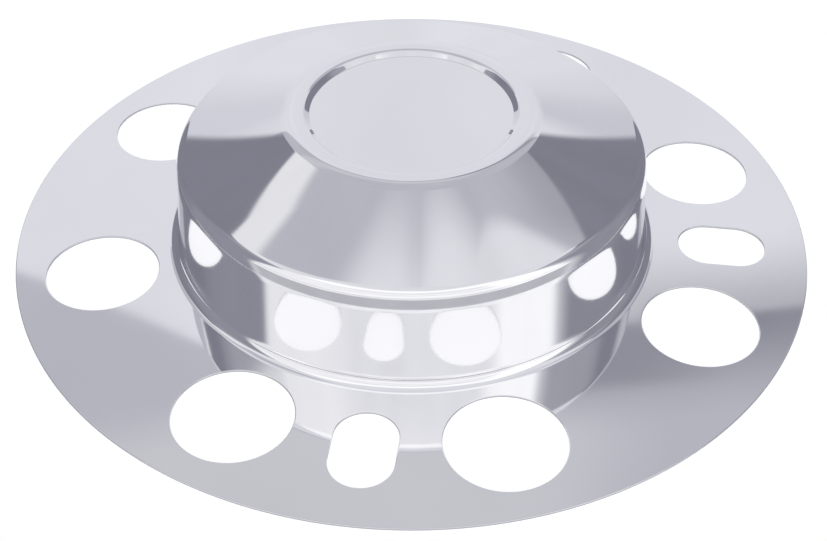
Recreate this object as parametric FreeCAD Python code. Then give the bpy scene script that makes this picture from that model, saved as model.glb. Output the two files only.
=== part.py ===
import FreeCAD, Part
import math
import os

# Axle hub cover for a truck wheel: one polished sheet, drawn into a round hub with a drafted wall,
# a shallow cone and a recessed crown, with a flat flange that the wheel's lug nuts pass through.
# Origin: centre of the flange's back face. +Z points outwards along the axle. Lengths are in millimetres.

# Sheet
SHEET = 1.0                    # thickness all over

# Flange and its openings
FLANGE_DIAMETER = 348.0
RIM_MARGIN = 12.5              # sheet left between the lug holes and the flange's rim
LUG_COUNT = 8
LUG_HOLE_DIAMETER = 48.0       # clears a lug nut and its socket
SLOT_WIDTH = 25.5              # across the slot, which has full round ends
SLOT_STRAIGHT = 12.0           # length of the slot's straight sides, along the radius
SLOT_COUNT = 2
SLOT_SPACING = 2               # lug pitches from one slot to the next

# Hub, to the sharp corners of its front face, before the bends round them. The recess is coined and stays sharp.
FOOT_MARGIN = 10.0             # from the lug holes to the foot of the wall, which takes the foot's bend
WALL_DRAFT = 3.5               # lean of the wall towards the axle, in degrees
RIM_HEIGHT = 45.0              # from the back face to where the wall meets the cone
CROWN_RISE = 17.0              # from the rim up to the crown
CROWN_DIAMETER = 106.0         # where the cone meets the flat land round the recess
LAND_WIDTH = 7.0
RECESS_DEPTH = 2.0
RECESS_WALL_ANGLE = 35.0       # slope of the recess wall, in degrees

# Bend radii on the inner side of each bend
FOOT_BEND = 5.0
RIM_BEND = 5.0
CROWN_BEND = 16.0

AXIS = FreeCAD.Vector(0, 0, 1)
ORIGIN = FreeCAD.Vector(0, 0, 0)
LUG_PITCH = 360.0 / LUG_COUNT
BOLT_CIRCLE = FLANGE_DIAMETER - LUG_HOLE_DIAMETER - 2 * RIM_MARGIN     # the wheel's 275 mm stud circle
HUB_DIAMETER = BOLT_CIRCLE - LUG_HOLE_DIAMETER - 2 * FOOT_MARGIN       # where the wall meets the flange
OVERALL_HEIGHT = RIM_HEIGHT + CROWN_RISE
PUNCH_START = -SHEET                   # punches start below the back face
PUNCH_TRAVEL = FOOT_BEND + 3 * SHEET   # and end above the bend at the foot of the wall


def profile_point(radius, height):
    """Point of the section, in the half plane y = 0."""
    return FreeCAD.Vector(radius, 0, height)


def front_corners():
    """Sharp corners of the front face's profile, from the axle out to the flange's rim."""
    hub_radius = HUB_DIAMETER / 2
    rim_radius = hub_radius - (RIM_HEIGHT - SHEET) * math.tan(math.radians(WALL_DRAFT))
    crown_radius = CROWN_DIAMETER / 2
    lip_radius = crown_radius - LAND_WIDTH
    floor_radius = lip_radius - RECESS_DEPTH / math.tan(math.radians(RECESS_WALL_ANGLE))
    floor_height = OVERALL_HEIGHT - RECESS_DEPTH
    return [
        profile_point(0, floor_height),
        profile_point(floor_radius, floor_height),
        profile_point(lip_radius, OVERALL_HEIGHT),
        profile_point(crown_radius, OVERALL_HEIGHT),
        profile_point(rim_radius, RIM_HEIGHT),
        profile_point(hub_radius, SHEET),
        profile_point(FLANGE_DIAMETER / 2, SHEET),
    ]


def back_corners(corners):
    """Corners of the back face's profile: the front line moved by the sheet's thickness, square to each run."""
    runs = [(end - start).normalize() for start, end in zip(corners, corners[1:])]
    sides = [FreeCAD.Vector(run.z, 0, -run.x) for run in runs]
    moved = [corners[0] + sides[0] * SHEET]
    for corner, before, after in zip(corners[1:-1], sides, sides[1:]):
        moved.append(corner + (before + after) * (SHEET / (1 + before.dot(after))))
    moved.append(corners[-1] + sides[-1] * SHEET)
    return moved


def rounded_outline(corners, radii):
    """Closed wire through the corners, with an arc of the given radius at each corner, or none for 0."""
    edges = []
    starts = []
    ends = []
    for index, (corner, radius) in enumerate(zip(corners, radii)):
        to_last = (corners[index - 1] - corner).normalize()
        to_next = (corners[(index + 1) % len(corners)] - corner).normalize()
        if radius == 0:
            starts.append(corner)
            ends.append(corner)
            continue
        half_angle = to_last.getAngle(to_next) / 2
        tangent = radius / math.tan(half_angle)
        inwards = (to_last + to_next).normalize()
        middle = corner + inwards * (radius / math.sin(half_angle) - radius)
        starts.append(corner + to_last * tangent)
        ends.append(corner + to_next * tangent)
        edges.append(Part.Arc(starts[-1], middle, ends[-1]).toShape())
    for index, start in enumerate(starts):
        edges.append(Part.LineSegment(ends[index - 1], start).toShape())
    return Part.Wire(Part.__sortEdges__(edges))


def drawn_sheet():
    """The sheet as it leaves the press, before punching: its section turned round the axle."""
    front = front_corners()
    back = back_corners(front)
    front_radii = [0, 0, 0, CROWN_BEND + SHEET, RIM_BEND + SHEET, FOOT_BEND, 0]
    back_radii = [0, 0, 0, CROWN_BEND, RIM_BEND, FOOT_BEND + SHEET, 0]
    section = rounded_outline(front + back[::-1], front_radii + back_radii[::-1])
    return Part.Face(section).revolve(ORIGIN, AXIS, 360)


def lug_punch(angle):
    """Round punch for one lug hole, centred on the bolt circle."""
    base = FreeCAD.Vector(BOLT_CIRCLE / 2, 0, PUNCH_START)
    punch = Part.makeCylinder(LUG_HOLE_DIAMETER / 2, PUNCH_TRAVEL, base, AXIS)
    return punch.rotate(ORIGIN, AXIS, angle)


def slot_punch(angle):
    """Punch for one slot: straight along the radius, full round at both ends, centred on the bolt circle."""
    half_width = SLOT_WIDTH / 2
    inner = BOLT_CIRCLE / 2 - SLOT_STRAIGHT / 2
    outer = BOLT_CIRCLE / 2 + SLOT_STRAIGHT / 2

    def point(x, y):
        return FreeCAD.Vector(x, y, PUNCH_START)

    outline = Part.Wire([
        Part.LineSegment(point(inner, -half_width), point(outer, -half_width)).toShape(),
        Part.Arc(point(outer, -half_width), point(outer + half_width, 0), point(outer, half_width)).toShape(),
        Part.LineSegment(point(outer, half_width), point(inner, half_width)).toShape(),
        Part.Arc(point(inner, half_width), point(inner - half_width, 0), point(inner, -half_width)).toShape(),
    ])
    punch = Part.Face(outline).extrude(AXIS * PUNCH_TRAVEL)
    return punch.rotate(ORIGIN, AXIS, angle)


def hub_cover():
    """The finished cover: lug holes on the bolt circle, and slots midway between neighbouring lug holes."""
    punches = [lug_punch((index + 0.5) * LUG_PITCH) for index in range(LUG_COUNT)]
    punches += [slot_punch(-index * SLOT_SPACING * LUG_PITCH) for index in range(SLOT_COUNT)]
    return drawn_sheet().cut(punches)


os.makedirs("parts", exist_ok=True)
hub_cover().exportStep("parts/hub_cover.step")
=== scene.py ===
import math
import bpy
import numpy as np
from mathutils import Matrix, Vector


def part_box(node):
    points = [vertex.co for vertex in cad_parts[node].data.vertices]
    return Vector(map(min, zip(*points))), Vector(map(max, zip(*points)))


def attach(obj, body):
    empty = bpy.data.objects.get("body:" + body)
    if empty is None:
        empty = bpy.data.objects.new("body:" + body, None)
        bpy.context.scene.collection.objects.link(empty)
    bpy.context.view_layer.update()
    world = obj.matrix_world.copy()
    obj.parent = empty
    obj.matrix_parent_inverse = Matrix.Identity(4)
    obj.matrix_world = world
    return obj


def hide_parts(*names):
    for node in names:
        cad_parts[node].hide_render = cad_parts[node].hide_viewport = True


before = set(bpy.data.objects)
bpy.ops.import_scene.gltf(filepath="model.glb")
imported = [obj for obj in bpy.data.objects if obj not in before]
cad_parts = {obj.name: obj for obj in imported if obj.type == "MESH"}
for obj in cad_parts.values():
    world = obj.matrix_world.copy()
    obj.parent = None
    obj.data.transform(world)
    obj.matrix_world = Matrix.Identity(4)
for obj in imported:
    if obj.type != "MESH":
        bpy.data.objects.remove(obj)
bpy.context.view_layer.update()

# Units: the shapes are worked out in millimetres, and the meshes are in metres.
MM = 0.001

# Sizes that the frame gives
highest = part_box("hub_cover")[1]
FLANGE_RADIUS = highest.x / MM
OVERALL_HEIGHT = highest.z / MM

# Sheet and flange
SHEET = 1.0
LUG_CIRCLE = 137.5             # radius of the circle that the lug holes and slots are centred on
LUG_HOLE_RADIUS = 24.0
SLOT_HALF_WIDTH = 12.75
SLOT_HALF_STRAIGHT = 6.0
SLOT_SECTORS = (0, 12)         # sectors of the flange that hold a slot, counted round from +X

# Hub, to the sharp corners of its front face
HUB_RADIUS = 103.5
WALL_DRAFT = math.radians(3.5)
RIM_HEIGHT = 45.0
SHOULDER_DROP = 5.0            # below the rim's height, where the wall starts to lean in further
SHOULDER_LEAN = math.radians(16.5)
CROWN_RADIUS = 53.0
LAND_WIDTH = 7.0
RECESS_DEPTH = 2.0
RECESS_SLOPE = math.radians(35.0)

# Bend radii on the inner side of each bend, and the rounding of the punched edges
FOOT_BEND = 5.0
SHOULDER_BEND = 20.0
RIM_BEND = 5.0
CROWN_BEND = 16.0
RECESS_LIP_BEND = 2.5
RECESS_FLOOR_BEND = 0.8
EDGE_ROUND = 0.25

# Mesh density
SECTOR_COUNT = 16
SECTOR_STEPS = 24              # mesh columns in a sector, and mesh rows along its sides
ROUND_STEPS = SECTOR_COUNT * SECTOR_STEPS
BEND_STEP = math.radians(5.0)  # turn between two rows of a bend
SUPPORT = 0.2                  # width of the narrow row beside each bend, for flats that shade flat
RUN_STEP = 9.0                 # longest mesh row along a straight run
WELD = 0.0005                  # points closer than this are one point

# Steel: colours, roughness and the noise of its polish, whose densities are per metre
STEEL_CLEAR = (0.90, 0.90, 0.915, 1)
STEEL_HAZED = (0.94, 0.94, 0.955, 1)
STEEL_CUT = (0.50, 0.50, 0.53, 1)
CLEAR_ROUGHNESS = 0.02
HAZED_ROUGHNESS = 0.045
RING_ROUGHNESS = 0.02          # added by the polishing rings
WALL_ROUGHNESS = 0.05          # added where the sheet stands upright
CUT_ROUGHNESS = 0.30           # added on the punched edges
HAZE_CLEAR = 0.3               # haze noise at which the gloss is clear
HAZE_FULL = 0.75               # haze noise at which it is hazed
RING_DENSITY = 2600.0
HAZE_DENSITY = 24.0
WAVE_DENSITY = 18.0
WAVE_DEPTH = 0.00002           # in metres
DRIFT_DENSITY = 30.0
DRIFT_REACH = 0.004            # in metres, how far the rings' noise shifts as they go round
UPRIGHT_NORMAL = (0.8, 0.4)    # upward part of the normal where upright begins, and where it is full
CUT_HEIGHT = (1.1, 0.97)       # the same for the punched edges, as a height in sheet thicknesses

# Floor
FLOOR_GREY = (0.8, 0.8, 0.8, 1)
SEEN_GLOW = 0.55               # the floor's own light to the camera
MIRRORED_GLOW = 0.48           # and in the polished metal
FLOOR_MARGIN = 4.0             # how far it reaches past the flange
FLOOR_GAP = 0.1                # how far it lies under the part
FLOOR_RINGS = 4
FLOOR_STEPS = 96

# Camera, as the photograph was taken
CAMERA_TURN = math.radians(7.5)
CAMERA_LIFT = math.radians(39.07)
CAMERA_DISTANCE = 636.9
CAMERA_TARGET = (0.0, 0.0, SHEET)
FOCAL_PIXELS = 1416.0
IMAGE_WIDTH = 827.0
IMAGE_HEIGHT = 541.0
AXIS_PIXEL = (411.45, 219.83)  # where the lens axis meets the image
SENSOR_WIDTH = 36.0

# Studio. Turn is the angle from straight behind the part, to the right, lift the angle from the horizon,
# and over the lift above a panel's top, all in degrees. A pair is where a patch starts to show and where
# it shows fully. Two pairs are where it fades in and where it fades out again.
WHITE = (1.0, 1.0, 1.0, 1)

# Grey panel overhead, and the pale ceiling above it
OVERHEAD = (0.495, 0.50, 0.55, 1)
OVERHEAD_EDGE = (0.595, 0.595, 0.635, 1)
OVERHEAD_EDGE_LIFT = ((45.5, 47.5), (51.0, 55.0))
OVERHEAD_EDGE_TURN = (16.0, 6.0)
CEILING = (0.76, 0.76, 0.805, 1)
CEILING_LIFT = (76.6, 82.8)
CEILING_RAMPS = ((-0.11, 0.0), (0.25, 9.0), (2.0, 44.5))  # slope and first turn of each drop of its edge
CEILING_TURN = (-62.0, -75.0)

# Backdrop behind the part, with a gap over its right half
BACKDROP = (0.76, 0.76, 0.81, 1)
BACKDROP_TOP = 43.5
BACKDROP_LEFT_TOP = 49.0       # where the line of its left slope passes straight behind the part
BACKDROP_LEFT_SLOPE = 0.475
BACKDROP_RIGHT_DROP = 0.0066   # per square degree of turn
BACKDROP_OVER = (0.18, -0.18)
BACKDROP_LOW_LIFT = (32.0, 22.0)
BACKDROP_RIGHT = (0.59, 0.60, 0.65, 1)
BACKDROP_RIGHT_TURN = (16.0, 30.0)
BACKDROP_LEFT = (0.66, 0.665, 0.72, 1)
BACKDROP_LEFT_TURN = (-16.0, -30.0)
BACKDROP_SHADE = (0.49, 0.49, 0.535, 1)
SHADE_OVER = (-3.5, 0.0)
SHADE_TURN = ((9.0, 13.0), (22.0, 32.0))
GAP = (0.25, 0.25, 0.30, 1)
GAP_OVER = (4.5, -0.5)
GAP_TURN = ((3.0, 9.0), (21.0, 36.0))
GAP_SLIT = (0.29, 0.29, 0.34, 1)
SLIT_OVER = (2.9, 2.3)
SLIT_TURN = ((3.0, 6.0), (12.0, 19.0))

# Dark flags at both sides, with a strip light over the left one and a shade over the right one
BLACK_FLAG = (0.225, 0.225, 0.275, 1)
FLAG_SLOPE = 0.79
FLAG_SLOPE_FOOT = 12.0         # where the line of its sloping top passes straight behind the part
FLAG_TOP = 49.5
FLAG_RIGHT_RISE = 4.0          # how much higher the right one's level top is
FLAG_OVER = (0.35, -0.35)
FLAG_START = 31.0
FLAG_START_EDGE = (-0.5, 0.5)
FLAG_LEAN = 0.27               # degrees of turn per degree of lift
FLAG_LEAN_LIFT = 20.0          # lift above which its start leans
FLAG_LEFT_END = (110.0, 105.0)
FLAG_RIGHT_END = (112.0, 98.0)
FLAG_NEAR = (0.28, 0.28, 0.33, 1)
FLAG_NEAR_TURN = (55.0, 75.0)
FLAG_HIGH = (0.37, 0.37, 0.42, 1)
FLAG_HIGH_LIFT = (40.0, 46.0)
STRIP_LIGHT = (0.82, 0.82, 0.85, 1)
STRIP_OVER = (8.8, 5.8)
STRIP_TURN = (-36.0, -40.0)
FLAG_SHADE_OVER = (14.0, 0.0)
FLAG_SHADE_TURN = ((34.0, 40.0), (47.0, 52.0))
FLAG_SHADE_SHARE = 0.5

# White front on the camera's side
FRONT = (0.83, 0.83, 0.86, 1)
FRONT_TURN = (106.0, 112.0)
FRONT_LIFT = (75.0, 65.0)
FRONT_BRIGHT = (1.0, 1.0, 1.02, 1)
LOWER_BAND_LIFT = ((15.0, 18.0), (33.5, 35.0))
UPPER_BAND_LIFT = ((38.5, 40.0), (46.0, 47.5))
FRONT_LIGHT = (1.1, 1.1, 1.11, 1)
SIDE_LIGHT_TURN = (146.0, 134.0)
HIGH_LIGHT_LIFT = (54.0, 58.0)
FRONT_LEFT = (0.93, 0.93, 0.95, 1)
FRONT_LEFT_TURN = ((-158.0, -140.0), (-112.0, -100.0))
FRONT_LOW = (0.50, 0.50, 0.54, 1)
FRONT_LOW_LIFT = (5.0, 3.0)
LINE_LIFT = 15.0
LINE_EDGE = (1.1, 0.4)         # distance from the line's middle

# Unevenness of all the studio's panels
FOLD_DENSITY = (7.0, 7.0, 1.5)
FOLD_NOISE = (0.3, 0.7)
FOLD_SHARE = (0.965, 1.035)


# Sheet surface

def unit(vector):
    """The vector divided by its length."""
    return vector / np.linalg.norm(vector)


def front_corners():
    """Sharp corners (radius, height) of the front face's profile, from the axle to the foot of the wall
    and along the flange: floor, recess wall, land, cone, shoulder and drafted wall. The cone aims at
    where the wall would reach the rim's height, and the shoulder's line cuts that corner off."""
    rim_radius = HUB_RADIUS - (RIM_HEIGHT - SHEET) * math.tan(WALL_DRAFT)
    shoulder_height = RIM_HEIGHT - SHOULDER_DROP
    shoulder_radius = HUB_RADIUS - (shoulder_height - SHEET) * math.tan(WALL_DRAFT)
    slope = (OVERALL_HEIGHT - RIM_HEIGHT) / (rim_radius - CROWN_RADIUS)
    lean = math.tan(SHOULDER_LEAN)
    rise = (SHOULDER_DROP + slope * (rim_radius - shoulder_radius)) / (1 - slope * lean)
    lip_radius = CROWN_RADIUS - LAND_WIDTH
    floor_radius = lip_radius - RECESS_DEPTH / math.tan(RECESS_SLOPE)
    floor_height = OVERALL_HEIGHT - RECESS_DEPTH
    return np.array([
        (0, floor_height),
        (floor_radius, floor_height),
        (lip_radius, OVERALL_HEIGHT),
        (CROWN_RADIUS, OVERALL_HEIGHT),
        (shoulder_radius - rise * lean, shoulder_height + rise),
        (shoulder_radius, shoulder_height),
        (HUB_RADIUS, SHEET),
        (flange_start(), SHEET),
    ])


def flange_start():
    """Radius where the foot's bend has run out and the flat flange begins: the bend's tangent length past
    its corner, plus one support row."""
    return HUB_RADIUS + FOOT_BEND * math.tan(math.radians(90) / 2 - WALL_DRAFT / 2) + SUPPORT


def offset_corners(corners, distance):
    """The corners of the line moved sideways by the distance: each moves along the sum of the normals of
    its two runs."""
    runs = np.diff(corners, axis=0)
    runs /= np.linalg.norm(runs, axis=1)[:, None]
    sides = np.stack([runs[:, 1], -runs[:, 0]], axis=1)
    before = np.vstack([sides[:1], sides])
    after = np.vstack([sides, sides[-1:]])
    share = distance / (1 + (before * after).sum(axis=1))
    return corners + (before + after) * share[:, None]


def bend_points(corner, last, following, radius):
    """Points of a bend: an arc of the radius, tangent to the two runs that meet at the corner."""
    to_last = unit(last - corner)
    to_next = unit(following - corner)
    half = math.acos(np.dot(to_last, to_next)) / 2
    centre = corner + unit(to_last + to_next) * radius / math.sin(half)
    start = corner + to_last * radius / math.tan(half) - centre
    end = corner + to_next * radius / math.tan(half) - centre
    turn = math.pi - 2 * half
    share = np.linspace(0, 1, max(4, math.ceil(turn / BEND_STEP)) + 1)[:, None]
    return centre + (start * np.sin((1 - share) * turn) + end * np.sin(share * turn)) / math.sin(turn)


def run_points(start, end):
    """Points of a straight run between two bends: a narrow support row at each end, and even rows
    between. A run too short for support rows has none."""
    length = np.linalg.norm(end - start)
    if length < 3 * SUPPORT:
        return np.empty((0, 2))
    inner = np.linspace(SUPPORT, length - SUPPORT, max(1, math.ceil(length / RUN_STEP)) + 1)
    return start + (inner / length)[:, None] * (end - start)


def rounded_profile(corners, radii):
    """The profile through the corners: straight runs joined by tangent arcs of the radii, one per inner
    corner."""
    bends = [corners[:1]]
    for last, corner, following, radius in zip(corners, corners[1:], corners[2:], radii):
        bends.append(bend_points(corner, last, following, radius))
    bends.append(corners[-1:])
    pieces = [bends[0]]
    for before, after in zip(bends, bends[1:]):
        pieces += [run_points(before[-1], after[0]), after]
    return np.vstack(pieces)


def turned(profile):
    """Surface of revolution: each profile point (radius, height) carried round the axle in even steps."""
    angle = np.linspace(-math.pi / SECTOR_COUNT, 2 * math.pi - math.pi / SECTOR_COUNT, ROUND_STEPS + 1)
    radius, height = profile[:, :1], profile[:, 1:]
    return np.stack([radius * np.cos(angle), radius * np.sin(angle), height + 0 * angle], axis=2)


def edge_profile():
    """Profile of a cut edge of the sheet as (inset from the cut, height), from the front face to the back
    face: a quarter round, the straight cut and a quarter round."""
    turn = np.linspace(0, math.pi / 2, 4)
    inset = EDGE_ROUND * (1 - np.sin(turn))
    drop = EDGE_ROUND * (1 - np.cos(turn))
    front = np.stack([inset, SHEET - drop], axis=1)
    back = np.stack([inset, drop], axis=1)[::-1]
    flat = EDGE_ROUND + SUPPORT
    return np.vstack([[(flat, SHEET)], front, back, [(flat, 0)]])


def sector_border():
    """Outline (x, y) of the flange sector on the +X axis, anticlockwise: outer arc, side, inner arc and
    side, with the same number of even steps along each."""
    half = math.pi / SECTOR_COUNT
    share = np.linspace(0, 1, SECTOR_STEPS, endpoint=False)
    inner = flange_start()
    outer = FLANGE_RADIUS - EDGE_ROUND - SUPPORT
    side = np.ones(SECTOR_STEPS)
    inwards = outer + (inner - outer) * share
    outwards = inner + (outer - inner) * share
    radius = np.concatenate([side * outer, inwards, side * inner, outwards])
    angle = half * np.concatenate([2 * share - 1, side, 1 - 2 * share, -side])
    return np.stack([radius * np.cos(angle), radius * np.sin(angle)], axis=1)


def holed_sector(half_width, half_straight):
    """Sector of the flange on the +X axis with one opening: a ring-shaped grid whose rows go from the
    sector's border on the back face to the opening's edge, up through it and out to the border on the
    front face. The opening's outline is every point at half_width from a straight stretch along the
    radius, and each column of the grid leaves it at right angles towards one border point."""
    border = sector_border()
    border = np.vstack([border, border[:1]])
    along = np.clip(border[:, 0], LUG_CIRCLE - half_straight, LUG_CIRCLE + half_straight)
    spine = np.stack([along, 0 * along], axis=1)
    outwards = border - spine
    outwards /= np.linalg.norm(outwards, axis=1)[:, None]
    edge = edge_profile()[::-1]
    rows = spine + outwards * (half_width + edge[:, :1, None])
    rows = np.concatenate([border[None], rows, border[None]])
    heights = np.concatenate([[0], edge[:, 1], [SHEET]])
    return np.concatenate([rows, np.broadcast_to(heights[:, None, None], rows.shape[:2] + (1,))], axis=2)


def plain_sector(height):
    """Sector of the flange on the +X axis with no opening: a grid of radius against angle at one
    height."""
    half = math.pi / SECTOR_COUNT
    radius = np.linspace(flange_start(), FLANGE_RADIUS - EDGE_ROUND - SUPPORT, SECTOR_STEPS + 1)[:, None]
    angle = np.linspace(-half, half, SECTOR_STEPS + 1)
    return np.stack([radius * np.cos(angle), radius * np.sin(angle), height + 0 * radius * angle], axis=2)


def placed(grid, sector):
    """The grid turned about the axle to stand on the numbered sector."""
    angle = 2 * math.pi * sector / SECTOR_COUNT
    cosine, sine = math.cos(angle), math.sin(angle)
    return grid @ np.array([(cosine, sine, 0), (-sine, cosine, 0), (0, 0, 1)])


def flange_grids():
    """All sectors of the flange: lug holes on the odd ones, slots on two of the even ones, and the rest
    plain."""
    lug = holed_sector(LUG_HOLE_RADIUS, 0)
    slot = holed_sector(SLOT_HALF_WIDTH, SLOT_HALF_STRAIGHT)
    front = plain_sector(SHEET)
    back = plain_sector(0)[::-1]
    grids = []
    for sector in range(SECTOR_COUNT):
        if sector % 2:
            grids.append(placed(lug, sector))
        elif sector in SLOT_SECTORS:
            grids.append(placed(slot, sector))
        else:
            grids += [placed(front, sector), placed(back, sector)]
    return grids


def sheet_grids():
    """Every grid of the closed sheet: front and back of the hub, the flange's outer edge and its sectors.
    The back of the hub is its front moved inwards by the sheet's thickness."""
    corners = front_corners()
    outer_bends = np.array([RECESS_LIP_BEND, CROWN_BEND, RIM_BEND, SHOULDER_BEND]) + SHEET
    bends = np.array([RECESS_FLOOR_BEND, *outer_bends, FOOT_BEND])
    change_to_back = np.array([1, -1, -1, -1, -1, 1]) * SHEET
    front = rounded_profile(corners, bends)
    back = rounded_profile(offset_corners(corners, SHEET), bends + change_to_back)
    edge = edge_profile()
    rim = np.stack([FLANGE_RADIUS - edge[:, 0], edge[:, 1]], axis=1)
    return [turned(front), turned(back)[::-1], turned(rim), *flange_grids()]


def grid_faces(rows, columns):
    """Quads of a grid of points. They face up where rows run outwards and columns run anticlockwise."""
    index = np.arange(rows * columns).reshape(rows, columns)
    return np.stack([index[:-1, :-1], index[1:, :-1], index[1:, 1:], index[:-1, 1:]], axis=2).reshape(-1, 4)


def welded_mesh(name, grids):
    """One mesh of all the grids, with points that coincide made one, and a quad that a pole closes made a
    triangle."""
    starts = np.cumsum([0] + [grid.shape[0] * grid.shape[1] for grid in grids])
    points = np.vstack([grid.reshape(-1, 3) for grid in grids])
    quads = np.vstack([grid_faces(*grid.shape[:2]) + start for grid, start in zip(grids, starts)])
    cell = np.round(points / WELD).astype(np.int64)
    kept, place = np.unique(cell, axis=0, return_index=True, return_inverse=True)[1:]
    quads = place.reshape(-1)[quads]
    closed = quads[:, 0] == quads[:, 3]
    triangles = quads[closed, :3]
    quads = quads[~closed]
    corners = np.concatenate([quads.ravel(), triangles.ravel()])
    counts = np.concatenate([np.full(len(quads), 4), np.full(len(triangles), 3)])
    mesh = bpy.data.meshes.new(name)
    mesh.vertices.add(len(kept))
    mesh.vertices.foreach_set("co", (points[kept] * MM).astype(np.float32).ravel())
    mesh.loops.add(len(corners))
    mesh.loops.foreach_set("vertex_index", corners.astype(np.int32))
    mesh.polygons.add(len(counts))
    mesh.polygons.foreach_set("loop_start", (np.cumsum(counts) - counts).astype(np.int32))
    mesh.polygons.foreach_set("loop_total", counts.astype(np.int32))
    mesh.polygons.foreach_set("use_smooth", np.ones(len(counts), bool))
    mesh.update(calc_edges=True)
    mesh.validate()
    return mesh


# Shader helpers

def add_node(tree, kind, settings=None, **inputs):
    """A node of the tree with its settings. Each input is a value or another node's output. It goes to
    the socket of its name, with underscores for spaces, or by the socket's place, as i0, i1 and so on."""
    node = tree.nodes.new(kind)
    for key, value in (settings or {}).items():
        setattr(node, key, value)
    for key, value in inputs.items():
        by_place = key[0] == "i" and key[1:].isdigit()
        socket = node.inputs[int(key[1:]) if by_place else key.replace("_", " ")]
        if isinstance(value, bpy.types.NodeSocket):
            tree.links.new(value, socket)
        else:
            socket.default_value = value
    return node


def maths(tree, operation, first, second=0.0):
    """Output of a Math node."""
    return add_node(tree, "ShaderNodeMath", {"operation": operation}, i0=first, i1=second).outputs[0]


def both(tree, *masks):
    """Product of the masks: where all of them hold."""
    result = masks[0]
    for mask in masks[1:]:
        result = maths(tree, "MULTIPLY", result, mask)
    return result


def fade(tree, value, start, end):
    """A smooth step: 0 where the value is at start, 1 where it is at end."""
    settings = {"interpolation_type": "SMOOTHSTEP"}
    step = add_node(tree, "ShaderNodeMapRange", settings, i0=value, i1=start, i2=end, i3=0.0, i4=1.0)
    return step.outputs[0]


def band(tree, value, rise, fall):
    """A mask that fades in over the value's first range and fades out over its second."""
    return both(tree, fade(tree, value, *rise), fade(tree, value, *fall[::-1]))


def past(tree, value, slope, start):
    """A ramp that is 0 up to the start and rises with the slope beyond it, or before it where the slope
    is negative."""
    rise = maths(tree, "MULTIPLY", maths(tree, "SUBTRACT", value, start), slope)
    return maths(tree, "MAXIMUM", rise, 0.0)


def painted(tree, mask, below, above):
    """The colour below, with the colour above laid over it by the mask."""
    return add_node(tree, "ShaderNodeMix", {"data_type": "RGBA"}, i0=mask, i6=below, i7=above).outputs[2]


def ranged(tree, value, from_low, from_high, to_low, to_high):
    """The value carried evenly from one range to another, and held at its ends."""
    node = add_node(
        tree, "ShaderNodeMapRange", i0=value, i1=from_low, i2=from_high, i3=to_low, i4=to_high)
    return node.outputs[0]


# Finishes

def upright_masks(tree):
    """Two masks: 1 where the sheet stands upright, and 1 on its punched edges, which are upright and lie
    below the flange's front face."""
    coordinates = tree.nodes.new("ShaderNodeTexCoord").outputs
    height = add_node(tree, "ShaderNodeSeparateXYZ", i0=coordinates["Object"]).outputs[2]
    facing_up = add_node(tree, "ShaderNodeSeparateXYZ", i0=coordinates["Normal"]).outputs[2]
    upright = fade(tree, maths(tree, "ABSOLUTE", facing_up), *UPRIGHT_NORMAL)
    low = fade(tree, height, *[share * SHEET * MM for share in CUT_HEIGHT])
    return upright, both(tree, upright, low)


def polish_group():
    """Polish of the drawn sheet: fine rings left by the polishing wheel, which turn about the axle, a
    faint uneven haze and a slow wave. The rings are noise over radius and height alone, broken up a
    little round the circle."""
    group = bpy.data.node_groups.new("wheel_polish", "ShaderNodeTree")
    for name in ("Ring Density", "Haze Density"):
        group.interface.new_socket(name, in_out="INPUT", socket_type="NodeSocketFloat")
    for name in ("Rings", "Haze", "Wave"):
        group.interface.new_socket(name, in_out="OUTPUT", socket_type="NodeSocketFloat")
    inside = group.nodes.new("NodeGroupInput").outputs
    outside = group.nodes.new("NodeGroupOutput").inputs
    place = group.nodes.new("ShaderNodeTexCoord").outputs["Object"]
    axes = add_node(group, "ShaderNodeSeparateXYZ", i0=place).outputs
    across = add_node(group, "ShaderNodeCombineXYZ", i0=axes[0], i1=axes[1]).outputs[0]
    radius = add_node(group, "ShaderNodeVectorMath", {"operation": "LENGTH"}, i0=across).outputs["Value"]
    drift = add_node(group, "ShaderNodeTexNoise", Vector=place, Scale=DRIFT_DENSITY, Detail=1.0).outputs[0]
    drift = maths(group, "MULTIPLY", drift, DRIFT_REACH)
    spot = add_node(group, "ShaderNodeCombineXYZ", i0=radius, i1=axes[2], i2=drift).outputs[0]
    rings = add_node(group, "ShaderNodeTexNoise", Vector=spot, Scale=inside[0], Detail=3.0, Roughness=0.65)
    haze = add_node(group, "ShaderNodeTexNoise", Vector=place, Scale=inside[1], Detail=4.0, Roughness=0.55)
    wave = add_node(group, "ShaderNodeTexNoise", Vector=place, Scale=WAVE_DENSITY, Detail=0.0)
    for output, noise in zip(outside, (rings, haze, wave)):
        group.links.new(noise.outputs[0], output)
    return group


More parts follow.
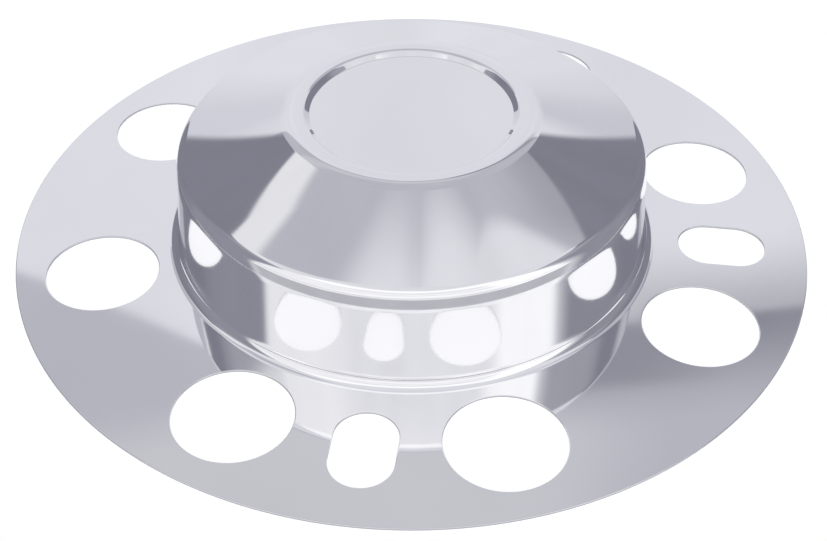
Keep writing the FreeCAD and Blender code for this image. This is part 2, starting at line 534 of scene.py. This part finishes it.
def polished_steel():
    """Mirror-polished stainless sheet: bright neutral metal with fine polishing rings, a soft haze in its
    gloss, a slight waviness from drawing, a softer gloss on the drawn wall, and satin grey where the
    punch cut it."""
    material = bpy.data.materials.new("polished_steel")
    material.use_nodes = True
    tree = material.node_tree
    shader = tree.nodes["Principled BSDF"]
    shader.inputs["Metallic"].default_value = 1.0
    settings = {"node_tree": polish_group()}
    polish = add_node(tree, "ShaderNodeGroup", settings, i0=RING_DENSITY, i1=HAZE_DENSITY).outputs
    upright, cut = upright_masks(tree)
    tint = painted(tree, polish["Haze"], STEEL_CLEAR, STEEL_HAZED)
    tint = painted(tree, cut, tint, STEEL_CUT)
    tree.links.new(tint, shader.inputs["Base Color"])
    gloss = ranged(tree, polish["Haze"], HAZE_CLEAR, HAZE_FULL, CLEAR_ROUGHNESS, HAZED_ROUGHNESS)
    added = ((polish["Rings"], RING_ROUGHNESS), (upright, WALL_ROUGHNESS), (cut, CUT_ROUGHNESS))
    for mask, roughness in added:
        gloss = maths(tree, "ADD", gloss, maths(tree, "MULTIPLY", mask, roughness))
    tree.links.new(gloss, shader.inputs["Roughness"])
    waves = add_node(tree, "ShaderNodeBump", Strength=1.0, Distance=WAVE_DEPTH, Height=polish["Wave"])
    tree.links.new(waves.outputs[0], shader.inputs["Normal"])
    return material


def floor_finish():
    """Plain white floor. To the camera and in reflections it glows by a share, so that it is white, and
    the rest of its brightness is the light that falls on it, which keeps the part's soft shadow."""
    material = bpy.data.materials.new("studio_floor")
    material.use_nodes = True
    tree = material.node_tree
    shader = tree.nodes["Principled BSDF"]
    shader.inputs["Base Color"].default_value = FLOOR_GREY
    shader.inputs["Roughness"].default_value = 1.0
    shader.inputs["Specular IOR Level"].default_value = 0.0
    shader.inputs["Emission Color"].default_value = WHITE
    rays = add_node(tree, "ShaderNodeLightPath").outputs
    mirrored = maths(tree, "MULTIPLY", rays["Is Glossy Ray"], MIRRORED_GLOW)
    seen = maths(tree, "MULTIPLY", rays["Is Camera Ray"], SEEN_GLOW)
    tree.links.new(maths(tree, "MAXIMUM", mirrored, seen), shader.inputs["Emission Strength"])
    return material


# Studio

def overhead(tree, turn, lift):
    """The grey panel overhead, paler along its lower edge, and the pale ceiling above it. The ceiling's
    edge comes down to each side by ramps, and far to the left there is the ceiling alone."""
    edge = both(tree, band(tree, lift, *OVERHEAD_EDGE_LIFT), fade(tree, turn, *OVERHEAD_EDGE_TURN))
    colour = painted(tree, edge, OVERHEAD, OVERHEAD_EDGE)
    high = lift
    for slope, start in CEILING_RAMPS:
        high = maths(tree, "ADD", high, past(tree, turn, slope, start))
    colour = painted(tree, fade(tree, high, *CEILING_LIFT), colour, CEILING)
    return painted(tree, fade(tree, turn, *CEILING_TURN), colour, CEILING)


def with_backdrop(tree, turn, lift, colour):
    """The colour with the backdrop over it. The backdrop's top is level in the middle, slopes down to the
    left, and falls with the square of the turn to the right. On the right a dark gap and its slit show
    over the top and a shade lies along it. Low down, the backdrop is darker at both sides."""
    left_top = maths(tree, "ADD", maths(tree, "MULTIPLY", turn, BACKDROP_LEFT_SLOPE), BACKDROP_LEFT_TOP)
    top = maths(tree, "MINIMUM", BACKDROP_TOP, left_top)
    right = maths(tree, "MAXIMUM", turn, 0.0)
    drop = maths(tree, "MULTIPLY", maths(tree, "MULTIPLY", right, right), BACKDROP_RIGHT_DROP)
    over_top = maths(tree, "SUBTRACT", lift, maths(tree, "SUBTRACT", top, drop))
    gap = both(tree, fade(tree, over_top, *GAP_OVER), band(tree, turn, *GAP_TURN))
    colour = painted(tree, gap, colour, GAP)
    slit = both(tree, fade(tree, over_top, *SLIT_OVER), band(tree, turn, *SLIT_TURN))
    colour = painted(tree, slit, colour, GAP_SLIT)
    low = fade(tree, lift, *BACKDROP_LOW_LIFT)
    low_right = both(tree, low, fade(tree, turn, *BACKDROP_RIGHT_TURN))
    backdrop = painted(tree, low_right, BACKDROP, BACKDROP_RIGHT)
    low_left = both(tree, low, fade(tree, turn, *BACKDROP_LEFT_TURN))
    backdrop = painted(tree, low_left, backdrop, BACKDROP_LEFT)
    shade = both(tree, fade(tree, over_top, *SHADE_OVER), band(tree, turn, *SHADE_TURN))
    backdrop = painted(tree, shade, backdrop, BACKDROP_SHADE)
    return painted(tree, fade(tree, over_top, *BACKDROP_OVER), colour, backdrop)


def with_flags(tree, turn, lift, colour):
    """The colour with the two dark flags over it. A flag's top rises with the turn up to a level, its
    start leans away from the backdrop higher up, and it is paler near the camera, most so high up. A
    strip light shows over the left flag, and a soft shade over the right one."""
    away = maths(tree, "ABSOLUTE", turn)
    is_right = maths(tree, "GREATER_THAN", turn, 0.0)
    slope_top = maths(tree, "ADD", maths(tree, "MULTIPLY", away, FLAG_SLOPE), FLAG_SLOPE_FOOT)
    level_top = maths(tree, "ADD", maths(tree, "MULTIPLY", is_right, FLAG_RIGHT_RISE), FLAG_TOP)
    over_flag = maths(tree, "SUBTRACT", lift, maths(tree, "MINIMUM", slope_top, level_top))
    strip = both(tree, fade(tree, over_flag, *STRIP_OVER), fade(tree, turn, *STRIP_TURN))
    colour = painted(tree, strip, colour, STRIP_LIGHT)
    shade = both(tree, fade(tree, over_flag, *FLAG_SHADE_OVER), band(tree, turn, *FLAG_SHADE_TURN))
    colour = painted(tree, maths(tree, "MULTIPLY", shade, FLAG_SHADE_SHARE), colour, GAP)
    left_end = fade(tree, away, *FLAG_LEFT_END)
    right_end = fade(tree, away, *FLAG_RIGHT_END)
    end = add_node(tree, "ShaderNodeMix", i0=is_right, i2=left_end, i3=right_end).outputs[0]
    start = maths(tree, "ADD", past(tree, lift, FLAG_LEAN, FLAG_LEAN_LIFT), FLAG_START)
    started = fade(tree, maths(tree, "SUBTRACT", away, start), *FLAG_START_EDGE)
    flags = both(tree, started, end, fade(tree, over_flag, *FLAG_OVER))
    near = fade(tree, away, *FLAG_NEAR_TURN)
    flag = painted(tree, near, BLACK_FLAG, FLAG_NEAR)
    flag = painted(tree, both(tree, near, fade(tree, lift, *FLAG_HIGH_LIFT)), flag, FLAG_HIGH)
    return painted(tree, flags, colour, flag)


def with_front(tree, turn, lift, colour):
    """The colour with the white front over it: two brighter level bands, a light at each side, dimmer on
    the left, a light above them, grey low down, and a thin grey line under the lower band."""
    away = maths(tree, "ABSOLUTE", turn)
    front = both(tree, fade(tree, away, *FRONT_TURN), fade(tree, lift, *FRONT_LIFT))
    bands = maths(tree, "ADD", band(tree, lift, *LOWER_BAND_LIFT), band(tree, lift, *UPPER_BAND_LIFT))
    lights = painted(tree, bands, FRONT, FRONT_BRIGHT)
    lights = painted(tree, fade(tree, away, *SIDE_LIGHT_TURN), lights, FRONT_LIGHT)
    lights = painted(tree, band(tree, turn, *FRONT_LEFT_TURN), lights, FRONT_LEFT)
    lights = painted(tree, fade(tree, lift, *HIGH_LIGHT_LIFT), lights, FRONT_LIGHT)
    lights = painted(tree, fade(tree, lift, *FRONT_LOW_LIFT), lights, FRONT_LOW)
    colour = painted(tree, front, colour, lights)
    from_line = maths(tree, "ABSOLUTE", maths(tree, "SUBTRACT", lift, LINE_LIFT))
    return painted(tree, both(tree, front, fade(tree, from_line, *LINE_EDGE)), colour, FRONT_LOW)


def with_folds(tree, direction, colour):
    """The colour made slightly lighter and darker by noise that is drawn out upright, like folds in
    cloth."""
    place = add_node(tree, "ShaderNodeVectorMath", {"operation": "MULTIPLY"}, i0=direction, i1=FOLD_DENSITY)
    noise = add_node(tree, "ShaderNodeTexNoise", Vector=place.outputs[0], Scale=1.0, Detail=2.0).outputs[0]
    share = ranged(tree, noise, *FOLD_NOISE, *FOLD_SHARE)
    return add_node(tree, "ShaderNodeVectorMath", {"operation": "SCALE"}, i0=colour, Scale=share).outputs[0]


def studio_light():
    """The studio as the polished metal sees it, painted by direction: a pale backdrop behind the part,
    dark flags at both sides, a grey panel overhead, and a white front with a soft light on each side of
    the camera. To the camera itself it is white."""
    world = bpy.data.worlds.new("studio")
    bpy.context.scene.world = world
    world.use_nodes = True
    tree = world.node_tree
    tree.nodes.clear()
    direction = tree.nodes.new("ShaderNodeTexCoord").outputs["Generated"]
    about_axle = {"rotation_type": "Z_AXIS"}
    facing = add_node(tree, "ShaderNodeVectorRotate", about_axle, Vector=direction, Angle=-CAMERA_TURN)
    axes = add_node(tree, "ShaderNodeSeparateXYZ", i0=facing.outputs[0]).outputs
    degrees = math.degrees(1)
    turn = maths(tree, "MULTIPLY", maths(tree, "ARCTAN2", axes[0], axes[1]), degrees)
    lift = maths(tree, "MULTIPLY", maths(tree, "ARCSINE", axes[2]), degrees)
    colour = overhead(tree, turn, lift)
    colour = with_backdrop(tree, turn, lift, colour)
    colour = with_flags(tree, turn, lift, colour)
    colour = with_front(tree, turn, lift, colour)
    colour = with_folds(tree, direction, colour)
    seen = add_node(tree, "ShaderNodeLightPath").outputs["Is Camera Ray"]
    colour = painted(tree, seen, colour, WHITE)
    background = add_node(tree, "ShaderNodeBackground", Color=colour, Strength=1.0)
    output = tree.nodes.new("ShaderNodeOutputWorld")
    tree.links.new(background.outputs[0], output.inputs["Surface"])


def studio_floor():
    """A flat disc just under the part: a grid of radius against angle."""
    radius = np.linspace(0, FLANGE_RADIUS + FLOOR_MARGIN, FLOOR_RINGS + 1)[:, None]
    angle = np.linspace(0, 2 * math.pi, FLOOR_STEPS + 1)
    height = 0 * radius * angle - FLOOR_GAP
    grid = np.stack([radius * np.cos(angle), radius * np.sin(angle), height], axis=2)
    floor = bpy.data.objects.new("studio_floor", welded_mesh("studio_floor", [grid]))
    floor.data.materials.append(floor_finish())
    bpy.context.scene.collection.objects.link(floor)


def photo_camera():
    """The photograph's camera: it looks at the middle of the flange from the front, and its shift puts
    the lens axis where the photograph has it."""
    data = bpy.data.cameras.new("photo_camera")
    data.sensor_width = SENSOR_WIDTH
    data.lens = FOCAL_PIXELS * SENSOR_WIDTH / IMAGE_WIDTH
    data.shift_x = 0.5 - AXIS_PIXEL[0] / IMAGE_WIDTH
    data.shift_y = (AXIS_PIXEL[1] - IMAGE_HEIGHT / 2) / IMAGE_WIDTH
    camera = bpy.data.objects.new("photo_camera", data)
    level = math.cos(CAMERA_LIFT)
    away = np.array([math.sin(CAMERA_TURN) * level, -math.cos(CAMERA_TURN) * level, math.sin(CAMERA_LIFT)])
    camera.location = (np.array(CAMERA_TARGET) + away * CAMERA_DISTANCE) * MM
    camera.rotation_euler = (math.pi / 2 - CAMERA_LIFT, 0, CAMERA_TURN)
    bpy.context.scene.collection.objects.link(camera)
    bpy.context.scene.camera = camera


# Assembly

sheet = bpy.data.objects.new("polished_sheet", welded_mesh("polished_sheet", sheet_grids()))
sheet.data.materials.append(polished_steel())
bpy.context.scene.collection.objects.link(sheet)
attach(sheet, "root")
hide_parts("hub_cover")

studio_light()
studio_floor()
photo_camera()
bpy.context.scene.view_settings.view_transform = "Standard"
